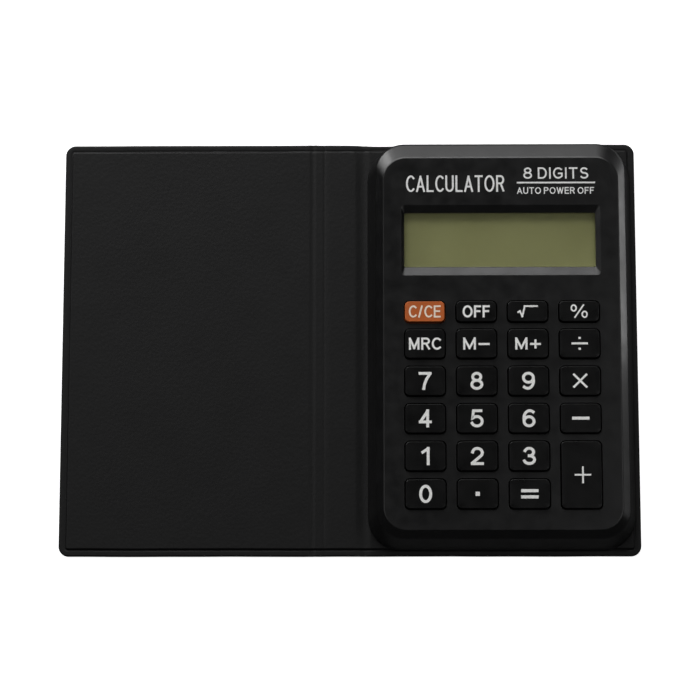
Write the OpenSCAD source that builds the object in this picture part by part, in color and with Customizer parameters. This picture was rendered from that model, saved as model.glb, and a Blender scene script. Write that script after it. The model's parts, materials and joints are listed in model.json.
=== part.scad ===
// Pocket calculator lying in its open wallet cover. Millimetres, +Z up.
// The origin is on the underside, at the centre of the open cover.
// +X runs from the cover's flap to the calculator, +Y from the last key row to the display.
// The cover is a flap, a spine and a back panel, which fold at two creases.
// The calculator is taped to the back panel.

/* [Cover] */
// Length of the open cover, from the flap's edge to the back panel's edge
cover_l = 139.4; // [139:0.2:144]
// Height of the cover
cover_w = 101.2; // [100:0.2:106]
// Radius of the cover's corners
cover_r = 2.5; // [1.5:0.5:4]
// Thickness of each vinyl skin
skin_t = 0.3; // [0.2:0.05:0.3]
// Thickness of the stiffening board in each panel
board_t = 0.9; // [0.8:0.1:1]
// Width of the welded border around the back panel and the flap
weld_w = 2; // [1.5:0.1:2.4]
// Distance between the two creases
spine_w = 12.2; // [12:0.1:13]
// Place along X of the crease between the spine and the back panel
crease_x = 3.2; // [3:0.1:3.3]

/* [Case] */
// Place along X of the calculator's centre line
case_x = 36.4; // [36.3:0.1:36.5]
// Width of the case at its base
base_w = 64; // [63.6:0.1:64.2]
// Length of the case at its base
base_l = 98.4; // [98.2:0.1:98.8]
// Height from the base of the case to its face
case_h = 10; // [9.9:0.05:10.1]
// Height of the bevelled edge around the face
bevel_h = 2.3; // [2:0.1:2.4]
// Thickness of the case walls
wall_t = 1.5; // [1.3:0.1:1.5]

/* [Display] */
// Width of the display opening
display_w = 45.9; // [44:0.1:46.5]
// Height of the display opening
display_h = 13.35; // [12:0.05:13.8]
// Place along Y of the display's centre
display_y = 24.5; // [24.3:0.1:24.7]
// Depth of the display opening below the face
display_depth = 0.7; // [0.5:0.1:0.8]

/* [Keys] */
// Distance between key columns
col_pitch = 12.24; // [12.1:0.02:12.4]
// Distance between key rows
row_pitch = 8.96; // [8.9:0.02:9]
// Width of a key's hole
hole_w = 10; // [9.6:0.1:10.2]
// Height of a key's hole
hole_h = 7.5; // [7.2:0.1:7.6]
// Height of a key's hole in the first row
hole_short_h = 5.5; // [5:0.1:5.8]
// Height of the key tops above the face
key_proud = 0.7; // [0.5:0.1:0.8]
// Gap between a key and its hole
key_gap = 0.3; // [0.15:0.05:0.3]

/* [Hidden] */
$fn = 48;
eps = 0.01;
hull_fn = 32;

// Heights of the cover and the calculator's layers, from the underside up
cover_t = 2 * skin_t + board_t;
fold_z = skin_t + board_t;
tape_t = 0.4;
base_z = cover_t + tape_t;
floor_z = base_z + 1.4;
part_z = base_z + 2;
face_z = base_z + case_h;
break_z = face_z - bevel_h;
ceiling_z = face_z - 1.4;
board_z = floor_z + 3;
board_top_z = board_z + 1;
sheet_top_z = board_top_z + 0.7;
flange_z = ceiling_z - 0.9;
flange_t = 0.8;
lens_z = face_z - display_depth;

// Cover panels along X, and the thin webs beside each crease
flap_crease_x = crease_x - spine_w;
web_gap = 0.35;
web_w = 1.5;
web_t = 0.25;
spine_rim_w = 0.6;
panels = [[-cover_l / 2, flap_crease_x], [flap_crease_x, crease_x], [crease_x, cover_l / 2]];

// Case outlines as [low x, low y, high x, high y, corner radius]
base_outline = centred(case_x, 0, base_w, base_l, 8);
break_outline = moved_in(base_outline, [1.9, 2.1, 1.9, 0.6], 7);
face_outline = moved_in(break_outline, [1.9, 1.8, 1.9, 4], 5.5);
part_outline = mix(base_outline, break_outline, (part_z - base_z) / (break_z - base_z));
lip_gap = 0.15;
lip_t = 0.7;
lip_h = 1;

// Display stack, behind the opening
display_x = case_x - 0.25;
lens_flange_t = 0.6;
lens_flange_w = 1.6;
lens_tape_t = 0.1;
lens_gap = 0.1;
film_t = 0.2;
film_inset = 0.3;
glass_t = 0.65;
glass_w = 49.6;
glass_h = 17.7;
glass_y = display_y - 1.3;
glass_ledge = 2.7;
glass_z = board_top_z + 0.7;
glass_gap = 0.1;
glass_rest = 1.3;
frame_wall = 0.8;
zebra_w = 1.8;
zebra_l = 44;

// Circuit board and what fastens it
board_w = 48.4;
board_low_y = -43.4;
board_high_y = 34.4;
boss_x = 26.4;
boss_y = [-42.5, 0, 42.5];
boss_r = 1.8;
screw_r = 0.8;
screw_head_r = 1.5;
screw_head_h = 0.9;
screw_l = 6;
screw_gap = 0.1;
post_r = 1.15;
post_x = [-12.24, 0, 12.24];
post_y = [-42.3, 12.2];
board_screw_r = 0.6;
board_screw_head_r = 1.1;
board_screw_l = 3;
rib_r = 1.2;

// Button cell, 11.6 mm across and 3.05 mm high
cell_r = 5.8;
cell_h = 3.05;
cell_gap = 0.1;
cell_pos = [49.7, 40.6];
strip_t = 0.2;
strip_w = 4;

// Keys as [node name, column, row], with rows counted from the display down
key_names = [
    ["key_clear", "key_off", "key_square_root", "key_percent"],
    ["key_memory_recall", "key_memory_minus", "key_memory_plus", "key_divide"],
    ["key_7", "key_8", "key_9", "key_multiply"],
    ["key_4", "key_5", "key_6", "key_minus"],
    ["key_1", "key_2", "key_3", "key_plus"],
    ["key_0", "key_point", "key_equals"],
];
keys = [for (row = [0 : len(key_names) - 1], col = [0 : len(key_names[row]) - 1])
    [key_names[row][col], col, row]];
first_row_y = 6.86;
second_row_y = first_row_y - 7.77;
key_r = 1;
key_flange = 0.65;
dome_r = 3;
dome_wall = 0.5;

// Outline of the given size about a centre
function centred(x, y, w, h, r) = [x - w / 2, y - h / 2, x + w / 2, y + h / 2, r];
// Outline with each side moved in by its own amount, and a new corner radius
function moved_in(o, sides, r) = [o[0] + sides[0], o[1] + sides[1], o[2] - sides[2], o[3] - sides[3], r];
// Outline grown by d on every side
function grown(o, d) = [o[0] - d, o[1] - d, o[2] + d, o[3] + d, max(o[4] + d, 0.2)];
// Outline at a fraction of the way from a to b
function mix(a, b, f) = a * (1 - f) + b * f;
// Outline of the outer wall at height z, between the base and the break
function wall_at(z) = mix(base_outline, break_outline, (z - base_z) / (break_z - base_z));
// Centre of a key
function key_x(k) = case_x + (k[1] - 1.5) * col_pitch;
function row_y(row) = row == 0 ? first_row_y : second_row_y - (row - 1) * row_pitch;
function is_tall(k) = k[0] == "key_plus";
function key_y(k) = is_tall(k) ? (row_y(k[2]) + row_y(k[2] + 1)) / 2 : row_y(k[2]);
function key_hole_h(k) = k[2] == 0 ? hole_short_h : is_tall(k) ? hole_h + row_pitch : hole_h;
// Outline of a key's hole in the face
function key_hole(k) = centred(key_x(k), key_y(k), hole_w, key_hole_h(k), key_r + key_gap);

// Upright plate of an outline, from height z0 to z1
module plate(o, z0, z1) {
    w = o[2] - o[0];
    h = o[3] - o[1];
    r = o[4];
    translate([o[0], o[1], z0]) linear_extrude(z1 - z0) {
        translate([r, 0]) square([w - 2 * r, h]);
        translate([0, r]) square([w, h - 2 * r]);
        for (x = [r, w - r], y = [r, h - r]) translate([x, y]) circle(r);
    }
}

// Plain block from one corner to the other
module block(low, high) {
    translate(low) cube(high - low);
}

// Upright cylinder from height z0 to z1
module post(x, y, r, z0, z1) {
    translate([x, y, z0]) cylinder(h = z1 - z0, r = r);
}

// Solid that passes through each outline at its height
module loft(outlines, heights) {
    hull() for (i = [0 : len(heights) - 1]) {
        top = i == len(heights) - 1;
        plate(outlines[i], heights[i] - (top ? eps : 0), heights[i] + (top ? 0 : eps), $fn = hull_fn);
    }
}

// Part of the open cover between x0 and x1, cut back by inset at the edges
module cover_slice(x0, x1, inset, z0, z1) {
    intersection() {
        plate(grown(centred(0, 0, cover_l, cover_w, cover_r), -inset), z0, z1);
        block([x0, -cover_w, z0], [x1, cover_w, z1]);
    }
}

// Ends along X of a panel's thick part, clear of its creases
function thick_x(p) = [p[0] + (p[0] > -cover_l / 2 ? web_w : 0), p[1] - (p[1] < cover_l / 2 ? web_w : 0)];
// Ends along X of a panel's webs, clear of the crease itself
function web_x(p) = [p[0] + (p[0] > -cover_l / 2 ? web_gap : 0), p[1] - (p[1] < cover_l / 2 ? web_gap : 0)];
// Ends along X of a panel's board
function board_x(p) = [
    thick_x(p)[0] + (p[0] > -cover_l / 2 ? spine_rim_w : 0),
    thick_x(p)[1] - (p[1] < cover_l / 2 ? spine_rim_w : 0)];

// Outer skin, folded up around the board and thinned to a web at each crease
module outer_skin(p) {
    difference() {
        union() {
            cover_slice(thick_x(p)[0], thick_x(p)[1], 0, 0, fold_z);
            cover_slice(web_x(p)[0], web_x(p)[1], 0, fold_z - web_t, fold_z);
        }
        cover_slice(board_x(p)[0], board_x(p)[1], weld_w, skin_t, fold_z + eps);
    }
}

module panel_board(p) {
    cover_slice(board_x(p)[0], board_x(p)[1], weld_w, skin_t, fold_z);
}

module inner_skin(p) {
    cover_slice(web_x(p)[0], web_x(p)[1], 0, fold_z, cover_t);
}

module flap_outer_skin() color("#222226") outer_skin(panels[0]);
module flap_board() color("#8d8577") panel_board(panels[0]);
module flap_inner_skin() color("#26262a") inner_skin(panels[0]);
module spine_outer_skin() color("#222226") outer_skin(panels[1]);
module spine_board() color("#8d8577") panel_board(panels[1]);
module spine_inner_skin() color("#1d1d20") inner_skin(panels[1]);
module back_outer_skin() color("#222226") outer_skin(panels[2]);
module back_board() color("#8d8577") panel_board(panels[2]);
module back_inner_skin() color("#26262a") inner_skin(panels[2]);

// Two strips of double-sided tape between the back panel and the calculator
module mounting_tape() {
    strip = [10, 80];
    color("#d8d4c6") for (side = [-1, 1])
        plate(centred(case_x + side * 17, 0, strip.x, strip.y, 0.5), cover_t, base_z);
}

// Rear case: a shallow tray with a lip inside the front case and supports for the board
module rear_case() {
    lip_outline = grown(wall_at(part_z + lip_h), -wall_t - lip_gap);
    cell_bore_r = cell_r + cell_gap;
    cell_wall = 0.6;
    cell_wall_z = floor_z + 2.4;
    color("#1b1b1e") difference() {
        union() {
            difference() {
                loft([base_outline, part_outline], [base_z, part_z]);
                plate(grown(lip_outline, -lip_t), floor_z, part_z + eps);
            }
            difference() {
                plate(lip_outline, floor_z - eps, part_z + lip_h);
                plate(grown(lip_outline, -lip_t), floor_z - eps, part_z + lip_h + eps);
            }
            for (x = post_x, row = [0 : 4])
                post(case_x + x, (row_y(row) + row_y(row + 1)) / 2, rib_r, floor_z - eps, board_z);
            intersection() {
                difference() {
                    post(cell_pos.x, cell_pos.y, cell_bore_r + cell_wall, floor_z - eps, cell_wall_z);
                    post(cell_pos.x, cell_pos.y, cell_bore_r, floor_z - 2 * eps, cell_wall_z + eps);
                }
                block(
                    [cell_pos.x - 8, cell_pos.y - 4, floor_z - eps],
                    [cell_pos.x + 8, cell_pos.y + 4, part_z + 3]);
            }
        }
        for (side = [-1, 1], y = boss_y) {
            x = case_x + side * boss_x;
            post(x, y, screw_head_r + screw_gap, base_z - eps, base_z + screw_gap + screw_head_h);
            post(x, y, screw_r + screw_gap, base_z, floor_z + eps);
        }
    }
}

// Six pan-head screws that hold the rear case to the bosses of the front case
module case_screws() {
    color("#b9bcc0") for (side = [-1, 1], y = boss_y) {
        post(case_x + side * boss_x, y, screw_head_r, base_z + screw_gap, base_z + screw_gap + screw_head_h);
        post(case_x + side * boss_x, y, screw_r, base_z + screw_head_h, base_z + screw_head_h + screw_l);
    }
}

// Front case: flared walls, a bevelled edge, the face, screw bosses and the board's posts
module front_case() {
    color("#1c1c1f") difference() {
        union() {
            difference() {
                loft([part_outline, break_outline, face_outline], [part_z, break_z, face_z]);
                loft(
                    [grown(part_outline, -wall_t), grown(break_outline, -wall_t), grown(face_outline, -1)],
                    [part_z - eps, break_z - 0.3, ceiling_z]);
            }
            for (side = [-1, 1], y = boss_y)
                post(case_x + side * boss_x, y, boss_r, floor_z, ceiling_z + 0.1);
            for (x = post_x, y = post_y)
                post(case_x + x, y, post_r, board_top_z, ceiling_z + 0.1);
        }
        loft(
            [centred(display_x, display_y, display_w, display_h, 0.4),
                centred(display_x + 0.2, display_y - 0.15, display_w + 1.8, display_h + 3.9, 0.9)],
            [lens_z, face_z + eps]);
        plate(centred(display_x, display_y, display_w, display_h, 0.4), ceiling_z - 0.2, face_z);
        for (k = keys) plate(key_hole(k), ceiling_z - 0.2, face_z + eps);
        for (side = [-1, 1], y = boss_y)
            post(case_x + side * boss_x, y, screw_r, floor_z - eps, base_z + screw_head_h + screw_l + 0.3);
        for (x = post_x, y = post_y)
            post(case_x + x, y, board_screw_r, board_top_z - eps, board_z + board_screw_l + 0.2);
    }
}

// Clear window with a flange behind the face
module display_window() {
    opening = centred(display_x, display_y, display_w, display_h, 0.4);
    color("#9aa08c", 0.4) {
        plate(grown(opening, -lens_gap), ceiling_z - lens_tape_t, lens_z);
        plate(
            grown(opening, lens_flange_w),
            ceiling_z - lens_tape_t - lens_flange_t,
            ceiling_z - lens_tape_t);
    }
}

module window_tape() {
    opening = centred(display_x, display_y, display_w, display_h, 0.4);
    color("#2a2a2a") difference() {
        plate(grown(opening, lens_flange_w), ceiling_z - lens_tape_t, ceiling_z);
        plate(grown(opening, 0.2), ceiling_z - lens_tape_t - eps, ceiling_z + eps);
    }
}

// Plastic frame that holds the glass over the board, with a ledge under its edge
module display_frame() {
    glass = grown(centred(display_x, glass_y, glass_w, glass_h, 0.2), glass_gap);
    frame_top = glass_z + film_t + 2 * glass_t;
    zebra_gap = 0.2;
    color("#e4e2da") difference() {
        plate(grown(glass, frame_wall), board_top_z, frame_top);
        plate(glass, glass_z, frame_top + eps);
        plate(grown(glass, -glass_rest), board_top_z - eps, glass_z + eps);
        block(
            [display_x - zebra_l / 2 - zebra_gap, glass[1], board_top_z - eps],
            [display_x + zebra_l / 2 + zebra_gap, glass[1] + glass_ledge, glass_z + eps]);
    }
}

// Glass pane of the display between two heights, with its edge on the keys' side cut back
module pane(cut, z0, z1) {
    o = centred(display_x, glass_y, glass_w, glass_h, 0.2);
    plate([o[0], o[1] + cut, o[2], o[3], o[4]], z0, z1);
}

module lcd_reflector() color("#8f9078") pane(glass_ledge + film_inset, glass_z, glass_z + film_t);
module lcd_bottom_glass()
    color("#9aa38f", 0.6) pane(glass_ledge, glass_z + film_t, glass_z + film_t + glass_t);
module lcd_top_glass()
    color("#9aa38f", 0.6) pane(0, glass_z + film_t + glass_t, glass_z + film_t + 2 * glass_t);
module lcd_front_polarizer()
    color("#77785f", 0.8)
        pane(glass_ledge + film_inset, glass_z + film_t + 2 * glass_t, glass_z + 2 * (film_t + glass_t));

// Rubber strip that carries the signals from the board to the glass
module zebra_connector() {
    margin = (glass_ledge - zebra_w) / 2;
    y = glass_y - glass_h / 2 + margin;
    color("#d9a3a3") block(
        [display_x - zebra_l / 2, y, board_top_z],
        [display_x + zebra_l / 2, y + zebra_w, glass_z + film_t + glass_t]);
}

module circuit_board() {
    color("#6b4a2b") difference() {
        plate(
            [case_x - board_w / 2, board_low_y, case_x + board_w / 2, board_high_y, 0.8],
            board_z,
            board_top_z);
        for (x = post_x, y = post_y)
            post(case_x + x, y, board_screw_r + screw_gap, board_z - eps, board_top_z + eps);
    }
}

// Small screws that hold the circuit board to the posts of the front case
module board_screws() {
    color("#c2c4c8") for (x = post_x, y = post_y) {
        post(case_x + x, y, board_screw_head_r, board_z - 0.6, board_z);
        post(case_x + x, y, board_screw_r, board_z - 0.1, board_z + board_screw_l);
    }
}

// Blob of epoxy over the calculator's chip, under the board
module chip_cover() {
    blob_r = 5;
    blob_h = 1.3;
    ball_r = (blob_r * blob_r + blob_h * blob_h) / (2 * blob_h);
    color("#101012") intersection() {
        translate([case_x, display_y, board_z - blob_h + ball_r]) sphere(ball_r, $fn = 128);
        block(
            [case_x - blob_r, display_y - blob_r, board_z - blob_h],
            [case_x + blob_r, display_y + blob_r, board_z]);
    }
}

// Two chip resistors, two chip capacitors and an upright capacitor, under the board
module board_components() {
    chip = [2, 1.25, 0.6];
    color("#b98f5a") {
        for (x = [-14, -10, 10, 14])
            translate([case_x + x - chip.x / 2, display_y + 3, board_z - chip.z]) cube(chip);
        post(case_x - 16, display_y - 6, 2, board_z - 2.6, board_z);
    }
}

// One rubber sheet with a hollow dome under each key
module rubber_keypad() {
    sheet = [case_x - board_w / 2 + 0.1, -41, case_x + board_w / 2 - 0.1, 10.5, 1];
    dome_top_r = 1.9;
    color("#6f7276") difference() {
        union() {
            plate(sheet, board_top_z, sheet_top_z);
            for (k = keys)
                translate([key_x(k), key_y(k), sheet_top_z - eps])
                    cylinder(h = flange_z - sheet_top_z + eps, r1 = dome_r, r2 = dome_top_r);
        }
        for (k = keys)
            translate([key_x(k), key_y(k), board_top_z - eps])
                cylinder(h = 1.3, r1 = dome_r - dome_wall, r2 = dome_top_r - dome_wall);
    }
}

module button_cell() {
    can_h = 2.4;
    z = floor_z + strip_t;
    color("#c9ccd0") {
        post(cell_pos.x, cell_pos.y, cell_r - 0.9, z, z + cell_h - can_h + eps);
        post(cell_pos.x, cell_pos.y, cell_r, z + cell_h - can_h, z + cell_h);
    }
}

// Strip from under the cell up to the underside of the board
module negative_contact() {
    x = cell_pos.x - 4;
    bend_y = board_high_y - 1;
    color("#d0b46a") {
        block([x, bend_y, floor_z], [x + strip_w, cell_pos.y + 2, floor_z + strip_t]);
        block([x, bend_y, floor_z], [x + strip_w, bend_y + strip_t, board_z]);
    }
}

// Strip from over the cell to the top of the board
module positive_contact() {
    x = cell_pos.x + 1;
    z = floor_z + strip_t + cell_h;
    bend_y = board_high_y;
    color("#d0b46a") {
        block([x, bend_y, z], [x + strip_w, cell_pos.y + 3, z + strip_t]);
        block([x, bend_y, z], [x + strip_w, bend_y + strip_t, board_top_z + strip_t]);
        block([x, bend_y - 0.5, board_top_z], [x + strip_w, bend_y + strip_t, board_top_z + strip_t]);
    }
}

// Key cap with a flange that keeps it behind the face
module key_cap(k) {
    cap = grown(key_hole(k), -key_gap);
    color(k[0] == "key_clear" ? "#b0663b" : "#101011") {
        plate(cap, flange_z, face_z + key_proud);
        plate(grown(cap, key_flange), flange_z, flange_z + flange_t);
    }
}

back_outer_skin();
back_board();
back_inner_skin();
spine_outer_skin();
spine_board();
spine_inner_skin();
flap_outer_skin();
flap_board();
flap_inner_skin();
mounting_tape();
rear_case();
case_screws();
front_case();
display_window();
window_tape();
display_frame();
lcd_front_polarizer();
lcd_top_glass();
lcd_bottom_glass();
lcd_reflector();
zebra_connector();
circuit_board();
board_screws();
chip_cover();
board_components();
rubber_keypad();
button_cell();
positive_contact();
negative_contact();
for (k = keys)
    key_cap(k);
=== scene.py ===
"""Looks of the pocket calculator and its wallet cover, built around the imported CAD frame.

Shapes are worked out in millimetres, as in the CAD source, and made in metres.
+X runs from the cover's flap to the calculator, +Y to the display, +Z up.
"""

import json
import math

import bmesh
import bpy
from mathutils import Matrix, Vector, noise


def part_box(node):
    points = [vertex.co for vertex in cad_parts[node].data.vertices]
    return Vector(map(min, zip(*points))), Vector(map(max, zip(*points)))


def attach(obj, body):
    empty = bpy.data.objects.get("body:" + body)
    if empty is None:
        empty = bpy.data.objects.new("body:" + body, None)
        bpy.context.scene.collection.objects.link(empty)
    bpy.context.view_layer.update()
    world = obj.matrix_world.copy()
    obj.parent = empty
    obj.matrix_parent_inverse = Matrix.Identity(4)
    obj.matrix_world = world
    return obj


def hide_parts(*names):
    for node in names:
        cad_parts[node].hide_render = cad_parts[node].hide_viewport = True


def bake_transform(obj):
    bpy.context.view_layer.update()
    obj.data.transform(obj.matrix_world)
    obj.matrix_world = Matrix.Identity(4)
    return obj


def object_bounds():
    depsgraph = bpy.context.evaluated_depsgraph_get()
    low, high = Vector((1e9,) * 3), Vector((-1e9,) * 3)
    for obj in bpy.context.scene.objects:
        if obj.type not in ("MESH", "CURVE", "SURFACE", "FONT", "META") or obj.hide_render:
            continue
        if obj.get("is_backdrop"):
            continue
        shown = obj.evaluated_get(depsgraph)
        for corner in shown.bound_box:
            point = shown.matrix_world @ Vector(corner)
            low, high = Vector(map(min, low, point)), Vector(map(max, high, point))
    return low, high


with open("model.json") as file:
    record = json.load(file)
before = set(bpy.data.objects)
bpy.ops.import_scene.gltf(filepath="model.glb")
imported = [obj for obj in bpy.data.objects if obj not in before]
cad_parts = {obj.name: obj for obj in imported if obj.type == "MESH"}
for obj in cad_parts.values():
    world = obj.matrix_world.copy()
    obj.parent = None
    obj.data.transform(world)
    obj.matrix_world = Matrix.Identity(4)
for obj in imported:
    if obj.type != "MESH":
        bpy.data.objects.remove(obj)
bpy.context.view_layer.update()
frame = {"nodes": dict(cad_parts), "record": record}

MM = 0.001
scene = bpy.context.scene


def box_mm(node):
    """Lowest and highest corner of a CAD node, in millimetres."""
    low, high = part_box(node)
    return low / MM, high / MM


# ---------------------------------------------------------------- materials

# Sizes of noise and depths of relief are in metres here, and colours are linear

# Most noise values lie between these
NOISE_LOW = 0.3
NOISE_HIGH = 0.7

# Size of one grain cell of the vinyl
GRAIN_CELL = 0.00075


class Nodes:
    """Node tree of one material, with a short way to add a node and set its inputs."""

    def __init__(self, name):
        self.material = bpy.data.materials.new(name)
        self.material.use_nodes = True
        self.tree = self.material.node_tree
        self.shader = self.tree.nodes["Principled BSDF"]
        self.place = self.add("TexCoord").outputs["Object"]

    def add(self, kind, inputs=None, **settings):
        """New node of a kind, with these inputs and settings."""
        node = self.tree.nodes.new("ShaderNode" + kind)
        for key, value in settings.items():
            setattr(node, key, value)
        for key, value in (inputs or {}).items():
            self.feed(node, key, value)
        return node

    def feed(self, node, key, value):
        """Links a socket to a node's input, or sets the input to a value."""
        if isinstance(value, bpy.types.NodeSocket):
            self.tree.links.new(value, node.inputs[key])
        else:
            node.inputs[key].default_value = value

    def noise(self, size, detail=3, place=None):
        """Noise whose features are about size metres across."""
        inputs = {"Vector": place or self.place, "Scale": 1 / size, "Detail": detail}
        return self.add("TexNoise", inputs).outputs["Fac"]

    def spread(self, value, low, high):
        """Noise value stretched to run from low to high."""
        ends = {"From Min": NOISE_LOW, "From Max": NOISE_HIGH, "To Min": low, "To Max": high}
        return self.add("MapRange", {"Value": value, **ends}).outputs["Result"]

    def mixed(self, share, dark, light):
        """Colour between dark and light, by a share from 0 to 1."""
        factor, colour_a, colour_b, colour_out = 0, 6, 7, 2
        inputs = {factor: share, colour_a: (*dark, 1), colour_b: (*light, 1)}
        return self.add("Mix", inputs, data_type="RGBA").outputs[colour_out]

    def colours(self, value, dark, light):
        """Colour between dark and light, by a noise value."""
        return self.mixed(self.spread(value, 0, 1), dark, light)

    def bump(self, height, depth, normal=None):
        """Normal of a relief depth metres deep."""
        inputs = {"Height": height, "Distance": depth, "Strength": 1}
        if normal:
            inputs["Normal"] = normal
        return self.add("Bump", inputs).outputs["Normal"]

    def finish(self, colour, roughness, normal=None, **constants):
        """Material with these linked inputs, and constants set on the shader's own sockets."""
        self.feed(self.shader, "Base Color", colour)
        self.feed(self.shader, "Roughness", roughness)
        if normal:
            self.feed(self.shader, "Normal", normal)
        for key, value in constants.items():
            self.feed(self.shader, key.replace("_", " "), value)
        return self.material


def shades(colour, share):
    """The colour made darker and lighter by a share."""
    return [c * (1 - share) for c in colour], [c * (1 + share) for c in colour]


def moulded(name, colour, roughness, grain=0.0003, depth=0.000012, share=0.12, **constants):
    """Moulded plastic or rubber: spark-eroded grain, faint patches of colour and gloss."""
    n = Nodes(name)
    tint = n.colours(n.noise(0.012), *shades(colour, share))
    gloss = n.spread(n.noise(0.004), roughness - 0.05, roughness + 0.05)
    return n.finish(tint, gloss, n.bump(n.noise(grain, 2), depth), **constants)


def vinyl(name):
    """Black PU vinyl: small rounded grain cells, fine pores, and patches that are a little glossier."""
    n = Nodes(name)
    grain = {"Vector": n.place, "Scale": 1 / GRAIN_CELL, "Smoothness": 0.6}
    cells = n.add("TexVoronoi", grain, feature="SMOOTH_F1").outputs["Distance"]
    pores = n.noise(0.0002, 4)
    relief = n.bump(pores, 0.000012, n.bump(cells, 0.00003))
    colour = n.colours(n.noise(0.02, 5), (0.0017, 0.0017, 0.0018), (0.0025, 0.0025, 0.0027))
    gloss = n.spread(n.noise(0.009, 5), 0.52, 0.58)
    return n.finish(colour, gloss, relief, Specular_IOR_Level=0.32)


def metal(name, colour, roughness, stretch):
    """Metal with fine drawn lines along the axis where stretch is small."""
    n = Nodes(name)
    lines = n.add("Mapping", {"Vector": n.place, "Scale": stretch}).outputs["Vector"]
    streaks = n.noise(0.0001, 4, lines)
    tint = n.colours(n.noise(0.003), *shades(colour, 0.08))
    gloss = n.spread(streaks, roughness - 0.08, roughness + 0.08)
    return n.finish(tint, gloss, n.bump(streaks, 0.000004), Metallic=1)


def fibre(name, colour, roughness, size, depth):
    """Pressed board or laminate: crossed fibres and specks."""
    n = Nodes(name)
    along = n.add("Mapping", {"Vector": n.place, "Scale": (0.25, 1, 1)}).outputs["Vector"]
    across = n.add("Mapping", {"Vector": n.place, "Scale": (1, 0.25, 1)}).outputs["Vector"]
    crossed = {0: n.noise(size, 4, along), 1: n.noise(size, 4, across)}
    fibres = n.add("Math", crossed, operation="MULTIPLY").outputs["Value"]
    specks = n.add("MapRange", {"Value": fibres, "From Min": 0.15, "From Max": 0.35}).outputs["Result"]
    gloss = n.spread(n.noise(0.002), roughness - 0.06, roughness + 0.06)
    return n.finish(n.mixed(specks, *shades(colour, 0.22)), gloss, n.bump(fibres, depth))


def display_film(name):
    """Olive film of the display: faint cloudy tint and a fine matt surface."""
    n = Nodes(name)
    colour = n.colours(n.noise(0.02, 2), (0.142, 0.143, 0.058), (0.156, 0.157, 0.067))
    gloss = n.spread(n.noise(0.003), 0.42, 0.5)
    return n.finish(colour, gloss, n.bump(n.noise(0.00015), 0.000002), Specular_IOR_Level=0.2)


def clear_plastic(name, tint, roughness):
    """Clear moulded window or glass, with a few faint wipe marks."""
    n = Nodes(name)
    marks = n.spread(n.noise(0.006, 5), roughness, roughness + 0.03)
    colour = n.colours(n.noise(0.01), tint, [min(1, c * 1.03) for c in tint])
    return n.finish(colour, marks, IOR=1.49, Transmission_Weight=1)


def printed(name, colour):
    """Screen-printed ink, slightly uneven."""
    n = Nodes(name)
    tint = n.colours(n.noise(0.0004, 4), *shades(colour, 0.09))
    gloss = n.spread(n.noise(0.0005), 0.5, 0.65)
    return n.finish(tint, gloss, n.bump(n.noise(0.00012), 0.000004), Specular_IOR_Level=0.3)


case_plastic = moulded("case_texture", (0.0028, 0.0028, 0.003), 0.34,
                       grain=0.00022, depth=0.000008, Specular_IOR_Level=0.5)
key_black = moulded("key_black_plastic", (0.0026, 0.0026, 0.0027), 0.32,
                    grain=0.0005, depth=0.000003, Specular_IOR_Level=0.28)
key_orange = moulded("key_orange_plastic", (0.55, 0.132, 0.032), 0.36,
                     grain=0.0005, depth=0.000003, share=0.04, Specular_IOR_Level=0.3)
cover_vinyl = vinyl("cover_vinyl_grain")
white_ink = printed("white_ink", (0.95, 0.95, 0.93))
face_ink = printed("face_ink", (0.85, 0.85, 0.84))
cream_ink = printed("cream_ink", (0.95, 0.82, 0.68))

SLOT_MATERIALS = {
    "grey_board": fibre("pressed_grey_board", (0.30, 0.28, 0.24), 0.85, size=0.0004, depth=0.00004),
    "tape": moulded("foam_tape", (0.62, 0.60, 0.54), 0.8, grain=0.0002, depth=0.00004),
    "case_plastic": case_plastic,
    "screw_steel": metal("zinc_plated_steel", (0.55, 0.56, 0.58), 0.3, stretch=(1, 1, 0.1)),
    "window_plastic": clear_plastic("clear_acrylic", (0.95, 0.96, 0.94), 0.02),
    "frame_plastic": moulded("white_frame_plastic", (0.74, 0.72, 0.66), 0.45),
    "lcd_film": display_film("olive_display_film"),
    "lcd_glass": clear_plastic("display_glass", (0.9, 0.93, 0.9), 0.01),
    "keypad_rubber": moulded("grey_silicone", (0.16, 0.165, 0.17), 0.6, grain=0.0004, depth=0.000006),
    "board_laminate": fibre("board_laminate_fibres", (0.15, 0.075, 0.03), 0.4, size=0.0003, depth=0.00001),
    "epoxy": moulded("black_epoxy", (0.006, 0.006, 0.007), 0.18, grain=0.002, depth=0.00003),
    "component_ceramic": moulded("component_body", (0.45, 0.27, 0.11), 0.4, grain=0.0002, depth=0.000005),
    "cell_steel": metal("nickel_plated_steel", (0.58, 0.60, 0.62), 0.25, stretch=(0.1, 1, 1)),
    "contact_metal": metal("spring_brass", (0.62, 0.47, 0.20), 0.28, stretch=(1, 0.1, 1)),
}

# ---------------------------------------------------------------- making pieces

SHARP_ANGLE = math.radians(32)
MIN_CORNER_R = 0.2

# Vertices closer than this are one, in millimetres
MERGE_DIST = 1e-4

# Steps of a rounding, of the corners of the walls, holes and key caps, and of a turned solid
ROUND_STEPS = 4
WALL_STEPS = 12
HOLE_STEPS = 6
CAP_STEPS = 7
TURN_STEPS = 28


def add_piece(name, bm, material, body=None):
    """Smooth-shaded object made from bm's millimetres, which rides on a body if one is given."""
    bmesh.ops.scale(bm, vec=(MM, MM, MM), verts=bm.verts)
    bmesh.ops.recalc_face_normals(bm, faces=bm.faces)
    mesh = bpy.data.meshes.new(name)
    bm.to_mesh(mesh)
    bm.free()
    mesh.shade_smooth()
    mesh.set_sharp_from_angle(angle=SHARP_ANGLE)
    mesh.materials.append(material)
    piece = bpy.data.objects.new(name, mesh)
    scene.collection.objects.link(piece)
    if body:
        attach(piece, body)
    return piece


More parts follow.
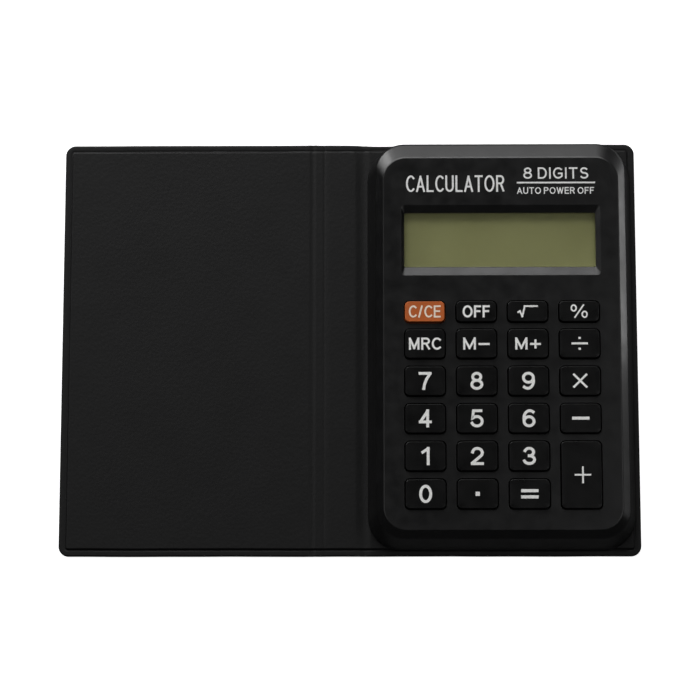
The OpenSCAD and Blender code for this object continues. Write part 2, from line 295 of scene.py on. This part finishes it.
def weigh_normals(piece):
    """Makes the normals follow the large faces, so that flat areas stay flat beside rounded edges."""
    piece.modifiers.new("flat_areas", "WEIGHTED_NORMAL").keep_sharp = True


def grown(shape, d):
    """Outline, as low x, low y, high x, high y and corner radius, grown by d on every side."""
    x0, y0, x1, y1, r = shape
    return (x0 - d, y0 - d, x1 + d, y1 + d, max(r + d, MIN_CORNER_R))


def station(shape, z):
    """Outline at height z, as one vector."""
    return Vector((*shape, z))


def soften(stations, cuts, steps=ROUND_STEPS):
    """Stations with their corners rounded, where cuts gives how far back each rounding starts."""
    path = [stations[0]]
    for before, corner, after, cut in zip(stations, stations[1:], stations[2:], cuts):
        if not cut:
            path.append(corner)
            continue
        start = corner + (before - corner) * min(0.5, cut / (before - corner).length)
        end = corner + (after - corner) * min(0.5, cut / (after - corner).length)
        for i in range(steps + 1):
            t = i / steps
            path.append(start * (1 - t) ** 2 + corner * 2 * t * (1 - t) + end * t * t)
    return path + [stations[-1]]


def rings(bm, stations, corner_steps):
    """One ring of vertices for each station."""
    made = []
    for x0, y0, x1, y1, r, z in stations:
        ring = []
        corners = ((x1 - r, y1 - r), (x0 + r, y1 - r), (x0 + r, y0 + r), (x1 - r, y0 + r))
        for quarter, (x, y) in enumerate(corners):
            for i in range(corner_steps + 1):
                a = math.pi / 2 * (quarter + i / corner_steps)
                ring.append(bm.verts.new((x + r * math.cos(a), y + r * math.sin(a), z)))
        made.append(ring)
    return made


def strip(bm, a, b):
    """Faces between two rows of vertices."""
    for i in range(len(a) - 1):
        bm.faces.new((a[i], a[i + 1], b[i + 1], b[i]))


def bridge(bm, loops):
    """Faces between each loop and the next."""
    for a, b in zip(loops, loops[1:]):
        for i in range(len(a)):
            j = (i + 1) % len(a)
            bm.faces.new((a[i], a[j], b[j], b[i]))


def fill(bm, loops):
    """Flat face inside the first loop, with the other loops as holes."""
    edges = [bm.edges.get((loop[i - 1], loop[i])) for loop in loops for i in range(len(loop))]
    bmesh.ops.triangle_fill(bm, edges=edges, use_beauty=True)


def lathe(bm, x, y, profile, segments=TURN_STEPS):
    """Solid turned about an upright line, from (radius, height) points that start and end on it."""
    poles = [bm.verts.new((x, y, z)) for _, z in (profile[0], profile[-1])]
    loops = []
    for r, z in profile[1:-1]:
        turns = [2 * math.pi * i / segments for i in range(segments)]
        loops.append([bm.verts.new((x + r * math.cos(a), y + r * math.sin(a), z)) for a in turns])
    bridge(bm, loops)
    for pole, loop in zip(poles, (loops[0], loops[-1])):
        for i in range(segments):
            bm.faces.new((pole, loop[i - 1], loop[i]))


# ---------------------------------------------------------------- wallet cover

# Round corners, and the vinyl's trimmed edge, which waves and is cut back at the case's top left corner
COVER_R = 2.5
EDGE_R = 0.4
TRIM_WAVE = 0.07
SHRINK = 0.35
SHRINK_FROM_CREASE = 5
SHRINK_W = 9

# The welded border around the boards
RIM_W = 1.5
RIM_SLOPE_W = 0.5
RIM_DROP = 0.32
WELD_FROM_EDGE = RIM_W + 0.1
WELD_W = 0.4
WELD_DEPTH = 0.11

# Creases as depth and width of the groove inside, the channels outside, and the weld on the spine
CREASES_TOP = {"flap_fold": (0.2, 0.9), "spine_fold": (0.3, 2.0)}
CHANNEL_DEPTH = 0.92
CHANNEL_W = 1.9
SPINE_WELD_INSET = 2.85
SPINE_WELD_DEPTH = 0.1
SPINE_WELD_W = 0.45

# Soft unevenness of the vinyl over the boards, and the least thickness of the two skins together
SWELL = 0.05
RIPPLE = 0.02
LEAST_T = 0.3

cover_low = box_mm("flap_outer_skin")[0]
cover_high = box_mm("back_inner_skin")[1]
COVER_X = (cover_low.x, cover_high.x)
COVER_W = cover_high.y - cover_low.y
COVER_T = cover_high.z
HINGES = {j["name"]: Vector(j["pos_m"]) / MM for j in frame["record"]["behaviour"]["joints"] if "pos_m" in j}
CREASES = (HINGES["flap_fold"].x, HINGES["spine_fold"].x)
SPINE_WELD = CREASES[0] + SPINE_WELD_INSET
SPINE_MIDDLE = sum(CREASES) / 2


def smooth_step(low, high, x):
    """0 up to low, 1 from high on, and a smooth rise between them."""
    t = min(1, max(0, (x - low) / (high - low)))
    return t * t * (3 - 2 * t)


def dip(x, centre, width):
    """1 at the centre of a rounded groove, 0 beyond its width on either side."""
    t = min(1, abs(x - centre) / width)
    return (1 - t * t) ** 2


def cover_edge_y(x, side, shrink=SHRINK):
    """Y of the cover's edge at x, with its round corners and the vinyl's slightly wavy trim."""
    half = COVER_W / 2
    end = min(x - COVER_X[0], COVER_X[1] - x)
    corner = COVER_R - math.sqrt(max(0, COVER_R**2 - max(0, COVER_R - end) ** 2))
    wave = TRIM_WAVE * noise.noise(Vector((x * 0.09, side * 7.3, 1.7)))
    cut = shrink * dip(x, CREASES[1] + SHRINK_FROM_CREASE, SHRINK_W) if side > 0 else 0
    return side * (half - corner - TRIM_WAVE - cut + wave)


def edge_distance(x, y, shrink=SHRINK):
    """Distance from a point on the cover to its edge."""
    sides = (x - COVER_X[0], COVER_X[1] - x, cover_edge_y(x, 1, shrink) - y, y - cover_edge_y(x, -1))
    dx = min(sides[0], sides[1])
    dy = min(sides[2], sides[3])
    if dx < COVER_R and dy < COVER_R:
        full = COVER_W / 2 - abs(y)
        return max(0, min(COVER_R - math.hypot(COVER_R - dx, COVER_R - min(full, COVER_R)), dy))
    return max(0, min(dx, dy))


def cover_heights(x, y):
    """Heights of the cover's outer and inner side at a point."""
    d = edge_distance(x, y)
    untrimmed = edge_distance(x, y, 0)
    rim = 1 - smooth_step(RIM_W, RIM_W + RIM_SLOPE_W, untrimmed)
    weld = dip(untrimmed, WELD_FROM_EDGE, WELD_W)
    swell = SWELL * noise.noise(Vector((x * 0.06, y * 0.05, 4.1)))
    swell += RIPPLE * noise.noise(Vector((x * 0.3, y * 0.22, 8)))
    top = COVER_T - RIM_DROP * rim - WELD_DEPTH * weld + swell * (1 - rim)
    low = RIM_DROP * rim + WELD_DEPTH * weld
    for fold, (depth, width) in CREASES_TOP.items():
        top -= depth * dip(x, HINGES[fold].x, width)
        low = max(low, CHANNEL_DEPTH * dip(x, HINGES[fold].x, CHANNEL_W) ** 0.5)
    top -= SPINE_WELD_DEPTH * dip(x, SPINE_WELD, SPINE_WELD_W)
    low = min(low, top - LEAST_T)
    middle = (top + low) / 2
    edge = math.sqrt(1 - (1 - min(1, d / EDGE_R)) ** 2)
    return middle + (low - middle) * edge, middle + (top - middle) * edge


# A coarse grid line stays out where a dense one is closer than this share of the coarse spacing
CLEAR_SHARE = 0.4


def grid_lines(low, high, details, coarse):
    """Sorted places from low to high: those of each detail's offsets, and a coarse spacing between."""
    places = {low, high}
    for centre, offsets in details:
        places.update(centre + o for o in offsets if low < centre + o < high)
    steps = math.ceil((high - low) / coarse)
    for i in range(1, steps):
        x = low + (high - low) * i / steps
        if min(abs(x - p) for p in places) > coarse * CLEAR_SHARE:
            places.add(x)
    return sorted(places)


# Places of the cover's grid lines: from its edge inwards, across a crease and across a weld, and the
# spacing elsewhere along X and Y
BORDER = [0.03, 0.1, 0.2, 0.32, 0.45, 0.8, 1.15, 1.3, 1.4, 1.5, 1.6, 1.7, 1.8, 1.9, 2.0, 2.15, 2.4, 3.0, 4.0]
CREASE_OFFSETS = [i * 0.15 for i in range(-16, 17)]
WELD_OFFSETS = [i * 0.1 for i in range(-4, 5)]
COARSE_X = 1.6
COARSE_Y = 1.8


def cover_half(name, x0, x1, nodes):
    """Closed vinyl piece between x0 and x1, with the groove of the one crease that it spans."""
    details = [(COVER_X[0], BORDER), (COVER_X[1], [-b for b in BORDER])]
    details += [(c, CREASE_OFFSETS) for c in CREASES]
    details.append((SPINE_WELD, WELD_OFFSETS))
    xs = grid_lines(x0, x1, details, COARSE_X)
    half = COVER_W / 2
    ys = grid_lines(-half, half, [(-half, BORDER), (half, [-b for b in BORDER])], COARSE_Y)
    bm = bmesh.new()
    sides = []
    for side in (0, 1):
        sheet = []
        for x in xs:
            low_y, high_y = cover_edge_y(x, -1), cover_edge_y(x, 1)
            places = [low_y + (y + half) / COVER_W * (high_y - low_y) for y in ys]
            sheet.append([bm.verts.new((x, y, cover_heights(x, y)[side])) for y in places])
        for a, b in zip(sheet, sheet[1:]):
            strip(bm, a, b)
        sides.append(sheet)
    low, top = sides
    for i in (0, -1):
        strip(bm, low[i], top[i])
    for i in (0, -1):
        strip(bm, [row[i] for row in low], [row[i] for row in top])
    bmesh.ops.remove_doubles(bm, verts=bm.verts, dist=MERGE_DIST)
    piece = add_piece(name, bm, cover_vinyl)
    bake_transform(piece)
    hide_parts(*nodes)


cover_half("cover_flap_side", COVER_X[0], SPINE_MIDDLE,
           ("flap_outer_skin", "flap_inner_skin", "spine_outer_skin", "spine_inner_skin"))
cover_half("cover_back_side", SPINE_MIDDLE, COVER_X[1],
           ("back_outer_skin", "back_inner_skin"))

# ---------------------------------------------------------------- front case

KEYS = [n for n in frame["nodes"] if n.startswith("key_")]

# Heights of the calculator's layers
case_low, case_high = box_mm("rear_case")
BASE_Z = case_low.z
FLOOR_Z = box_mm("front_case")[0].z
FACE_Z = box_mm("front_case")[1].z
LENS_Z = box_mm("display_window")[1].z
PART_Z = BASE_Z + 2
BREAK_Z = FACE_Z - 2.3
CEILING_Z = FACE_Z - 1.4


def moved_in(shape, sides, r):
    """Outline with each side moved in by its own distance, and a new corner radius."""
    x0, y0, x1, y1, _ = shape
    return (x0 + sides[0], y0 + sides[1], x1 - sides[2], y1 - sides[3], r)


# Outlines of the case at its base, at the foot of the bevel, at the face and where its halves part
BASE = (case_low.x, case_low.y, case_high.x, case_high.y, 8)
BREAK = moved_in(BASE, (1.9, 2.1, 1.9, 0.6), 7)
FACE = moved_in(BREAK, (1.9, 1.8, 1.9, 4), 5.5)
PART = tuple(a + (b - a) * (PART_Z - BASE_Z) / (BREAK_Z - BASE_Z) for a, b in zip(BASE, BREAK))
CASE_X = (BASE[0] + BASE[2]) / 2

# How far back the roundings start at the parting line, the bevel's foot and the face
PART_CUT = 0.15
BREAK_CUT = 0.75
FACE_CUT = 0.5

# Thickness of the walls, strips of flat face beside the bevel and the recess, how far the bevel's
# foot lies lower inside than outside, and how far posts reach into the ceiling
WALL_T = 1.5
FACE_STRIP = 1
MOUTH_STRIP = 0.4
INNER_DROP = 0.3
EMBED = 0.1

# Key holes, and the flange of a key under the face
FLANGE_W = 0.65
FLANGE_T = 0.8
KEY_GAP = 0.3
HOLE_R = 1.3
HOLE_RIM_CUT = 0.09

# The display's recess: how far its mouth lies inside the window on each side (outside it where the
# number is below 0), its corners and how far back its roundings start
TAPE_W = 1.6
WINDOW_R = 0.4
MOUTH_INSET = (-0.7, -2.1, -1.1, -1.8)
MOUTH_R = 0.9
MOUTH_CUT = 0.18
WINDOW_CUT = 0.08

# Bosses of the case screws and posts of the board's screws, with places from the middle of the case
BOSS_X = 26.4
BOSS_Y = 42.5
BOSS_R = 1.8
SCREW_R = 0.8
SCREW_TOP_Z = BASE_Z + 7.2
POST_X = 12.24
POST_YS = (-42.3, 12.2)
POST_R = 1.15
BOARD_SCREW_R = 0.6
BOARD_SCREW_REACH = 2.2


def key_outline(node):
    """Outline of the key's hole in the face."""
    low, high = box_mm(node)
    return grown((low.x, low.y, high.x, high.y, HOLE_R + FLANGE_W - KEY_GAP), KEY_GAP - FLANGE_W)


def window_outline():
    """Outline of the opening around the display window."""
    low, high = box_mm("window_tape")
    return grown((low.x, low.y, high.x, high.y, WINDOW_R + TAPE_W), -TAPE_W)


def add_case_walls(bm):
    """Walls and bevel of the case, inside and out. Returns its ring at the ceiling and at the face."""
    path = [
        station(grown(FACE, -FACE_STRIP), CEILING_Z), station(grown(BREAK, -WALL_T), BREAK_Z - INNER_DROP),
        station(grown(PART, -WALL_T), PART_Z), station(PART, PART_Z), station(BREAK, BREAK_Z),
        station(FACE, FACE_Z), station(grown(FACE, -FACE_STRIP), FACE_Z),
    ]
    loops = rings(bm, soften(path, [0, 0, PART_CUT, BREAK_CUT, FACE_CUT]), WALL_STEPS)
    bridge(bm, loops)
    return loops[0], loops[-1]


def add_key_hole(bm, node):
    """Hole of one key, with a soft rim. Returns its ring at the ceiling and at the face."""
    hole = key_outline(node)
    path = [station(grown(hole, HOLE_RIM_CUT * 1.5), FACE_Z), station(hole, FACE_Z), station(hole, CEILING_Z)]
    loops = rings(bm, soften(path, [HOLE_RIM_CUT]), HOLE_STEPS)
    bridge(bm, loops)
    return loops[-1], loops[0]


def add_recess(bm):
    """Sloping sides of the display's recess. Returns its ring at the ceiling and at the face."""
    window = window_outline()
    mouth = moved_in(window, MOUTH_INSET, MOUTH_R)
    path = [
        station(grown(mouth, MOUTH_STRIP), FACE_Z), station(mouth, FACE_Z),
        station(window, LENS_Z), station(window, CEILING_Z),
    ]
    loops = rings(bm, soften(path, [MOUTH_CUT, WINDOW_CUT]), HOLE_STEPS)
    bridge(bm, loops)
    return loops[-1], loops[0]


def add_post(bm, x, y, foot_z, r, screw_r, screw_top_z, segments=TURN_STEPS):
    """Post that hangs from the ceiling down to foot_z, with the hole of its screw."""
    top = CEILING_Z + EMBED
    profile = [(0, screw_top_z), (screw_r, screw_top_z), (screw_r, foot_z), (r, foot_z), (r, top), (0, top)]
    lathe(bm, x, y, profile, segments)


def add_front_case():
    """Front case: walls with a soft bevel, the face with its key holes and recess, bosses and posts."""
    bm = bmesh.new()
    bottom, top = add_case_walls(bm)
    holes = [add_key_hole(bm, node) for node in KEYS] + [add_recess(bm)]
    fill(bm, [top] + [hole[1] for hole in holes])
    fill(bm, [bottom] + [hole[0] for hole in holes])
    for x in (-BOSS_X, BOSS_X):
        for y in (-BOSS_Y, 0, BOSS_Y):
            add_post(bm, CASE_X + x, y, FLOOR_Z, BOSS_R, SCREW_R, SCREW_TOP_Z)
    board_top = box_mm("circuit_board")[1].z
    screw_top = board_top + BOARD_SCREW_REACH
    for x in (-POST_X, 0, POST_X):
        for y in POST_YS:
            add_post(bm, CASE_X + x, y, board_top, POST_R, BOARD_SCREW_R, screw_top, 20)
    piece = add_piece("front_shell", bm, case_plastic, "back")
    weigh_normals(piece)
    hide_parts("front_case")


add_front_case()

# ---------------------------------------------------------------- keys

# The cap's faintly dished top, and how far back its roundings start
TOP_DISH = 0.05
DISH_INSET = 1.1
CAP_CUT = 0.3
FLANGE_CUT = 0.12


def add_key_cap(node):
    """Key cap with softened edges, a faintly dished top and its flange under the face."""
    low, high = box_mm(node)
    cap = grown(key_outline(node), -KEY_GAP)
    flange = grown(cap, FLANGE_W)
    flange_top = low.z + FLANGE_T
    path = [
        station(flange, low.z), station(flange, flange_top), station(cap, flange_top),
        station(cap, high.z), station(grown(cap, -DISH_INSET), high.z - TOP_DISH),
    ]
    bm = bmesh.new()
    loops = rings(bm, soften(path, [FLANGE_CUT, 0, CAP_CUT], ROUND_STEPS + 1), CAP_STEPS)
    bridge(bm, loops)
    bm.faces.new(loops[0])
    bm.faces.new(loops[-1])
    material, slot = (key_orange, "key_orange") if node == "key_clear" else (key_black, "key_black")
    piece = add_piece(node + "_cap", bm, material, node)
    weigh_normals(piece)
    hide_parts(node)


for key in KEYS:
    add_key_cap(key)

# ---------------------------------------------------------------- printed signs

# Angle of one step along an arc, in degrees, and half the length of a dot's stroke
ARC_STEP = 14
DOT = 0.01

# Two points closer than this are one, and strokes that span less than this along an axis have no extent
SAME = 1e-6
FLAT_SPAN = 0.05

# A sharp bend of a line is stretched outwards by 1 over this at most
BEND_LIMIT = 0.6

# Gaps in a line of signs, for a height of 1
LETTER_GAP = 0.34
SPACE_W = 0.3

# Half the thickness of the ink, and the height between strokes that cross, in millimetres
INK_T = 0.02
INK_STEP = 0.001


def arc(x, y, rx, ry, start, end):
    """Points along an ellipse, with angles in degrees."""
    steps = max(2, math.ceil(abs(end - start) / ARC_STEP))
    turns = [math.radians(start + (end - start) * i / steps) for i in range(steps + 1)]
    return [(x + rx * math.cos(a), y + ry * math.sin(a)) for a in turns]


def ring_stroke(x, y, rx, ry):
    """Stroke all round an ellipse."""
    return arc(x, y, rx, ry, 0, 360)


def turned(strokes, width):
    """Strokes turned by half a turn."""
    return [[(width - x, 1 - y) for x, y in s] for s in strokes]


def dot(x, y):
    """Stroke so short that only its ends show."""
    return [(x - DOT, y), (x + DOT, y)]


STEM = [(0, 0), (0, 1)]
SIX = [ring_stroke(0.32, 0.3, 0.31, 0.3), arc(0.37, 0.5, 0.37, 0.5, 55, 192)]
BOWL = [(0, 1), *arc(0.34, 0.755, 0.26, 0.245, 90, -90), (0, 0.51)]

# Each sign's strokes along their middle, for a height of 1 in letters and digits
STROKES = {
    "0": [ring_stroke(0.31, 0.5, 0.31, 0.5)],
    "1": [[(0.27, 0), (0.27, 1)], [(0.25, 0.97), (0, 0.76)]],
    "2": [[*arc(0.31, 0.71, 0.3, 0.29, 170, -38), (0, 0.04)], [(0, 0), (0.62, 0)]],
    "3": [arc(0.29, 0.755, 0.26, 0.245, 160, -90), arc(0.29, 0.255, 0.31, 0.255, 90, -160)],
    "4": [[(0.47, 0), (0.47, 1)], [(0.45, 0.95), (0.03, 0.3)], [(0, 0.27), (0.64, 0.27)]],
    "5": [[(0.54, 1), (0.11, 1), (0.04, 0.5), *arc(0.3, 0.31, 0.31, 0.31, 140, -155)]],
    "6": SIX,
    "7": [[(0, 1), (0.6, 1)], [(0.59, 0.97), (0.38, 0.6), (0.27, 0.3), (0.22, 0)]],
    "8": [ring_stroke(0.31, 0.765, 0.25, 0.235), ring_stroke(0.31, 0.265, 0.31, 0.265)],
    "9": turned(SIX, 0.64),
    "A": [[(0, 0), (0.34, 0.97)], [(0.68, 0), (0.34, 0.97)], [(0.12, 0.3), (0.56, 0.3)]],
    "C": [arc(0.38, 0.5, 0.38, 0.5, 48, 312)],
    "D": [STEM, [(0, 1), *arc(0.3, 0.5, 0.34, 0.5, 90, -90), (0, 0)]],
    "E": [STEM, [(0, 1), (0.54, 1)], [(0, 0.53), (0.48, 0.53)], [(0, 0), (0.54, 0)]],
    "F": [STEM, [(0, 1), (0.52, 1)], [(0, 0.52), (0.44, 0.52)]],
    "G": [[*arc(0.38, 0.5, 0.38, 0.5, 48, 312), (0.7, 0.2), (0.7, 0.46)], [(0.42, 0.46), (0.7, 0.46)]],
    "I": [STEM],
    "L": [STEM, [(0, 0), (0.5, 0)]],
    "M": [STEM, [(0.76, 0), (0.76, 1)], [(0.03, 0.95), (0.38, 0.06)], [(0.73, 0.95), (0.38, 0.06)]],
    "O": [ring_stroke(0.4, 0.5, 0.4, 0.5)],
    "P": [STEM, BOWL],
    "R": [STEM, BOWL, [(0.34, 0.5), (0.6, 0.02)]],
    "S": [arc(0.3, 0.755, 0.26, 0.245, 35, 270), arc(0.3, 0.255, 0.29, 0.255, 90, -145)],
    "T": [[(0.3, 0), (0.3, 1)], [(0, 1), (0.6, 1)]],
    "U": [[(0, 1), *arc(0.32, 0.3, 0.32, 0.3, 180, 360), (0.64, 1)]],
    "W": [[(0, 1), (0.24, 0.03)], [(0.24, 0.03), (0.48, 0.95)], [(0.48, 0.95), (0.72, 0.03)],
          [(0.72, 0.03), (0.96, 1)]],
    "/": [[(0, 0), (0.3, 1)]],
    "%": [ring_stroke(0.17, 0.76, 0.17, 0.24), ring_stroke(0.93, 0.24, 0.17, 0.24), [(0.25, 0), (0.85, 1)]],
    "-": [[(0, 0.45), (0.66, 0.45)]],
    "+": [[(0, 0.45), (0.66, 0.45)], [(0.33, 0.1), (0.33, 0.8)]],
    "root": [[(0, 0.42), (0.14, 0.52), (0.34, 0)], [(0.34, 0), (0.56, 1)], [(0.54, 1), (1.6, 1)]],
    "divide": [[(0, 0.5), (1.1, 0.5)], dot(0.55, 1), dot(0.55, 0)],
    "multiply": [[(0, 0), (1, 1)], [(0, 1), (1, 0)]],
    "minus": [[(0, 0), (1, 0)]],
    "plus": [[(0, 0.5), (1, 0.5)], [(0.5, 0), (0.5, 1)]],
    "point": [dot(0, 0)],
    "equals": [[(0, 0), (1, 0)], [(0, 1), (1, 1)]],
    " ": [],
}


def lay_out(signs):
    """Strokes of the signs set in one line."""
    strokes, x = [], 0
    for sign in signs:
        drawn = STROKES[sign]
        strokes += [[(x + px, py) for px, py in s] for s in drawn]
        width = max((px for s in drawn for px, _ in s), default=SPACE_W - LETTER_GAP)
        x += width + LETTER_GAP
    return strokes


def ribbon_edges(points, width):
    """Both edges of a flat line along points, as pairs, with square ends on an open line."""
    points = [Vector(p) for p in points]
    closed = (points[0] - points[-1]).length < SAME
    if closed:
        points = points[:-1]
    else:
        points[0] += (points[0] - points[1]).normalized() * width / 2
        points[-1] += (points[-1] - points[-2]).normalized() * width / 2
    pairs = []
    for i, p in enumerate(points):
        into = p - points[i - 1] if i or closed else points[1] - p
        out = points[(i + 1) % len(points)] - p if i < len(points) - 1 or closed else into
        into, out = into.normalized(), out.normalized()
        normal = (into + out).normalized().orthogonal()
        stretch = 1 / max(BEND_LIMIT, normal.dot(out.orthogonal()))
        reach = normal * width / 2 * stretch
        pairs.append((p + reach, p - reach))
    return pairs, closed


def add_sign(name, signs, centre, size, line, top, ink, body):
    """Printed sign of the given outer size and line width, a hair above the height called top."""
    strokes = lay_out(signs)
    points = [p for s in strokes for p in s]
    low = [min(p[i] for p in points) for i in (0, 1)]
    span = [max(p[i] for p in points) - low[i] for i in (0, 1)]
    scale = [(size[i] - line) / span[i] if span[i] > FLAT_SPAN else 0 for i in (0, 1)]
    bm = bmesh.new()
    for k, stroke in enumerate(strokes):
        placed = [[centre[i] + (p[i] - low[i] - span[i] / 2) * scale[i] for i in (0, 1)] for p in stroke]
        if len(placed) == 2 and (Vector(placed[0]) - Vector(placed[1])).length < SAME:
            placed = dot(*placed[0])
        pairs, closed = ribbon_edges(placed, line)
        z0, z1 = top - INK_T, top + INK_T + k * INK_STEP
        section = ((0, z0), (0, z1), (1, z1), (1, z0))
        loops = [[bm.verts.new((*pair[side], z)) for side, z in section] for pair in pairs]
        bridge(bm, loops + loops[:1] if closed else loops)
        if not closed:
            bm.faces.new(loops[0])
            bm.faces.new(loops[-1])
    add_piece(name, bm, ink, body)


# A digit's outer width, outer height and line width
DIGIT = (3.05, 4.3, 0.68)

# What is printed on the other keys: signs, outer width, outer height and line width
KEY_SIGNS = {
    "key_1": ("1", 1.95, *DIGIT[1:]),
    "key_clear": ("C/CE", 7.6, 2.95, 0.42),
    "key_off": ("OFF", 6.5, 2.95, 0.5),
    "key_square_root": (["root"], 4.9, 2.9, 0.42),
    "key_percent": ("%", 4.1, 3.3, 0.38),
    "key_memory_recall": ("MRC", 7.6, 2.95, 0.48),
    "key_memory_minus": ("M-", 6.3, 2.95, 0.5),
    "key_memory_plus": ("M+", 6.1, 2.95, 0.5),
    "key_divide": (["divide"], 3.9, 3.1, 0.5),
    "key_multiply": (["multiply"], 3.4, 3.4, 0.5),
    "key_minus": (["minus"], 4.1, 0.7, 0.7),
    "key_plus": (["plus"], 3.9, 4.0, 0.42),
    "key_equals": (["equals"], 4.1, 2.2, 0.74),
    "key_point": (["point"], 1.0, 1.0, 0.98),
}
PLUS_SHIFT = 0.3

for key in KEYS:
    signs, width, height, line = KEY_SIGNS.get(key) or (key[-1], *DIGIT)
    low, high = box_mm(key)
    shift = PLUS_SHIFT if key == "key_plus" else 0
    middle = ((low.x + high.x) / 2 + shift, (low.y + high.y) / 2)
    ink = cream_ink if key == "key_clear" else white_ink
    add_sign(key + "_sign", signs, middle, (width, height), line, high.z - TOP_DISH, ink, key)

# What is printed on the face: signs, centre from the middle of the case, outer size and line width
FACE_SIGNS = {
    "face_word": ("CALCULATOR", (-10.9, 38.2), (23.6, 4.1), 0.46),
    "face_digits_note": ("8 DIGITS", (13.3, 40.75), (15.6, 2.8), 0.4),
    "face_rule": (["minus"], (13.3, 38.4), (18.8, 0.4), 0.4),
    "face_power_note": ("AUTO POWER OFF", (13.2, 36.45), (18.5, 1.65), 0.25),
}
for name, (signs, (x, y), size, line) in FACE_SIGNS.items():
    add_sign(name, signs, (CASE_X + x, y), size, line, FACE_Z, face_ink, "back")

# ---------------------------------------------------------------- CAD nodes that stay

slot_of = {s["node"]: s["material_slot"] for s in frame["record"]["subparts"]}
for node, piece in frame["nodes"].items():
    material = SLOT_MATERIALS.get(slot_of[node])
    if material and not piece.hide_render:
        piece.data.materials.clear()
        piece.data.materials.append(material)

# The clear window lets the light through to the display
frame["nodes"]["display_window"].visible_shadow = False

# ---------------------------------------------------------------- camera, light and floor

# The camera, with places in metres and its lens in millimetres
CAMERA_AT = Vector((0.0071, -0.0995, 0.5916))
CAMERA_TARGET = Vector((0.0001, -0.0003, 0))
CAMERA_LENS = 127.15
SENSOR_W = 36

# Soft lights: azimuth, elevation, distance, size and power, in degrees, metres and watts
SOFT_LIGHTS = {
    "window_light": (100, 18, 1.1, (0.9, 0.35), 1.8),
    "high_light": (98, 35, 1.1, (1.0, 0.35), 6.7),
    "corner_light": (130, 14, 0.6, (0.3, 0.12), 1.25),
    "left_light": (180, 55, 1.1, (0.5, 0.8), 1.15),
    "right_light": (0, 55, 1.1, (0.5, 0.8), 1.5),
}

# Shining cards that lie on the floor beside the cover's right edge: place, size and power
SIDE_CARDS = {
    "side_card": ((0.18, 0.066, 0.0005), (0.18, 0.128), 0.2),
    "side_card_low": ((0.18, 0, 0.0006), (0.18, 0.1), 0.03),
}
WORLD_STRENGTH = 0.03

# The stage, in metres
FLOOR_HALF = 2.5
FLOOR_DROP = 0.0002
BACKDROP_R = 3


def add_camera():
    """Camera almost straight above the open cover, a little towards the keys' end."""
    data = bpy.data.cameras.new("camera")
    data.lens = CAMERA_LENS
    data.sensor_width = SENSOR_W
    data.clip_start = 0.01
    data.clip_end = 10
    camera = bpy.data.objects.new("camera", data)
    scene.collection.objects.link(camera)
    back = (CAMERA_AT - CAMERA_TARGET).normalized()
    right = Vector((0, 1, 0)).cross(back).normalized()
    up = back.cross(right)
    camera.location = CAMERA_AT
    camera.rotation_mode = "QUATERNION"
    camera.rotation_quaternion = Matrix((right, up, back)).transposed().to_quaternion()
    scene.camera = camera


def add_light(name, place, direction, size, power):
    """Soft rectangular light at a place, which shines in one direction and isn't seen itself."""
    data = bpy.data.lights.new(name, "AREA")
    data.shape = "RECTANGLE"
    data.size, data.size_y = size
    data.energy = power
    light = bpy.data.objects.new(name, data)
    scene.collection.objects.link(light)
    light.location = place
    light.rotation_mode = "QUATERNION"
    light.rotation_quaternion = direction.to_track_quat("-Z", "Y")
    light.visible_camera = False


def around(azimuth, elevation, distance):
    """Place around the object. Azimuth 0 is at +X and 90 at +Y, in degrees."""
    a, e = math.radians(azimuth), math.radians(elevation)
    return Vector((math.cos(a) * math.cos(e), math.sin(a) * math.cos(e), math.sin(e))) * distance


def add_stage_piece(name, bm, base, glow):
    """Piece of the stage around the object, in paper of a base brightness that also glows by itself."""
    mesh = bpy.data.meshes.new(name)
    bm.to_mesh(mesh)
    bm.free()
    paper = bpy.data.materials.new(name + "_paper")
    paper.use_nodes = True
    shader = paper.node_tree.nodes["Principled BSDF"]
    shader.inputs["Base Color"].default_value = (base, base, base, 1)
    shader.inputs["Roughness"].default_value = 0.9
    shader.inputs["Emission Color"].default_value = (1, 1, 1, 1)
    shader.inputs["Emission Strength"].default_value = glow
    mesh.materials.append(paper)
    piece = bpy.data.objects.new(name, mesh)
    scene.collection.objects.link(piece)
    piece.visible_glossy = False
    piece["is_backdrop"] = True
    return piece


add_camera()
for name, (azimuth, elevation, distance, size, power) in SOFT_LIGHTS.items():
    place = around(azimuth, elevation, distance)
    add_light(name, place, -place, size, power)
for name, (place, size, power) in SIDE_CARDS.items():
    add_light(name, Vector(place), Vector((0, 0, 1)), size, power)

world = bpy.data.worlds.new("studio")
world.use_nodes = True
background = world.node_tree.nodes["Background"]
background.inputs["Color"].default_value = (1, 1, 1, 1)
background.inputs["Strength"].default_value = WORLD_STRENGTH
scene.world = world
scene.view_settings.view_transform = "Standard"

floor_bm = bmesh.new()
bmesh.ops.create_grid(floor_bm, x_segments=1, y_segments=1, size=FLOOR_HALF)
floor = add_stage_piece("floor", floor_bm, 0.92, 0.88)
floor.location.z = -FLOOR_DROP

# The backdrop is only seen: it sends no light to the object
backdrop_bm = bmesh.new()
bmesh.ops.create_uvsphere(backdrop_bm, u_segments=48, v_segments=24, radius=BACKDROP_R)
backdrop = add_stage_piece("backdrop", backdrop_bm, 0, 1)
backdrop.visible_diffuse = False
backdrop.visible_transmission = False
backdrop.visible_shadow = False

low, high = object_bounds()
